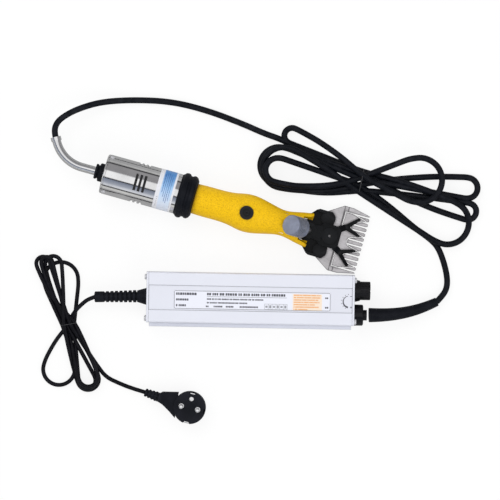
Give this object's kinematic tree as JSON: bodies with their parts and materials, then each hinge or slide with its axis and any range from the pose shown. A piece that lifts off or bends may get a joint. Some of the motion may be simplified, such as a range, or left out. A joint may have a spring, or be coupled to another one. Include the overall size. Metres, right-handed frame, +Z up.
{
  "type": "sheep shears",
  "caption": "Electric sheep shears: yellow handpiece with comb and cutter, low-voltage power supply with speed knob, rubber cable and mains cord in figure-eight hanks.",
  "frame": {"origin": "on the surface it lies on, under the middle of the handpiece and power supply together", "axes": "+X along the power supply towards its speed knob, +Y towards the handpiece, +Z up"},
  "size_m": [0.5033, 0.3714, 0.0617],
  "materials": {
    "polished_steel": "mirror-polished stainless steel",
    "screw_steel": "bright plated steel",
    "ground_steel": "ground bright steel",
    "dark_steel": "dark oiled steel",
    "nut_silver": "satin nickel",
    "black_casting": "black stove-enamelled casting",
    "yellow_paint": "golden yellow textured paint",
    "black_rubber": "moulded black rubber",
    "black_plastic": "moulded black plastic",
    "cable_black": "smooth black rubber sheath",
    "mains_black": "smooth black sheath",
    "label_blue": "printed film, blank",
    "label_white": "printed film with plain bars",
    "white_aluminium": "pale satin aluminium",
    "plain_aluminium": "bare aluminium",
    "copper": "copper segments",
    "carbon": "dark grey",
    "board_green": "lacquered board"
  },
  "bodies": {
    "machine": {"motor_shell": "polished_steel", "motor_rear_cap": "polished_steel", "case_screws": "screw_steel", "motor_label": "label_blue", "rear_gland": "black_rubber", "cable_tube": "polished_steel", "tube_ferrule": "polished_steel", "collar_ring": "black_rubber", "handle_shell": "yellow_paint", "oil_plug": "black_rubber", "head_casting": "black_casting", "pivot_post": "ground_steel", "comb": "ground_steel", "comb_screws": "screw_steel", "brush_plate": "black_plastic", "brushes": "carbon", "flux_ring": "dark_steel", "stator_magnets": "carbon", "front_plate": "plain_aluminium", "motor_bearings": "ground_steel", "bearing_sleeve": "dark_steel", "spindle_bearings": "ground_steel", "tension_sleeve": "dark_steel", "tension_pin": "ground_steel", "supply_case": "white_aluminium", "left_end_plate": "white_aluminium", "right_end_plate": "white_aluminium", "end_screws": "screw_steel", "supply_label": "label_white", "circuit_board": "board_green", "transformer": "carbon", "capacitors": "black_plastic", "heat_sink": "plain_aluminium", "speed_control": "black_plastic", "output_gland": "black_plastic", "output_boot": "black_rubber", "mains_relief": "black_rubber", "main_cord_lead": "cable_black", "main_cord_hank": "cable_black", "main_cord_tail": "cable_black", "mains_cord_lead": "mains_black", "mains_cord_hank": "mains_black", "mains_cord_tail": "mains_black", "plug_body": "black_rubber", "plug_pins": "polished_steel", "plug_earth_clips": "polished_steel", "plug_earth_socket": "polished_steel", "plug_relief": "black_rubber"},
    "rotor": {"rotor_shaft": "ground_steel", "rotor_core": "dark_steel", "commutator": "copper", "drive_coupling": "black_plastic", "crank_spindle": "ground_steel", "crank_roller": "ground_steel"},
    "fork": {"fork_body": "black_casting", "left_foot": "black_casting", "right_foot": "black_casting", "cutter": "ground_steel"},
    "nut": {"tension_nut": "nut_silver"},
    "knob": {"speed_knob": "black_plastic"}
  },
  "joints": [
    {"name": "rotor_spin", "type": "hinge", "parent": "machine", "child": "rotor", "pos_m": [-0.06228, 0.05137, 0.0262], "axis": [0.9636, -0.2672, 0], "continuous": true},
    {"name": "fork_rock", "type": "hinge", "parent": "machine", "child": "fork", "pos_m": [0.11213, 0.003, 0.012], "axis": [0, 0, 1], "range_deg": [-8, 8]},
    {"name": "tension_turn", "type": "hinge", "parent": "machine", "child": "nut", "pos_m": [0.09094, 0.00887, 0.0555], "axis": [-0.5527, 0.1533, 0.8192], "range_deg": [-360, 360]},
    {"name": "speed_turn", "type": "hinge", "parent": "machine", "child": "knob", "pos_m": [0.16381, -0.06546, 0.019], "axis": [0.9998, -0.0183, 0], "range_deg": [0, 270]}
  ]
}
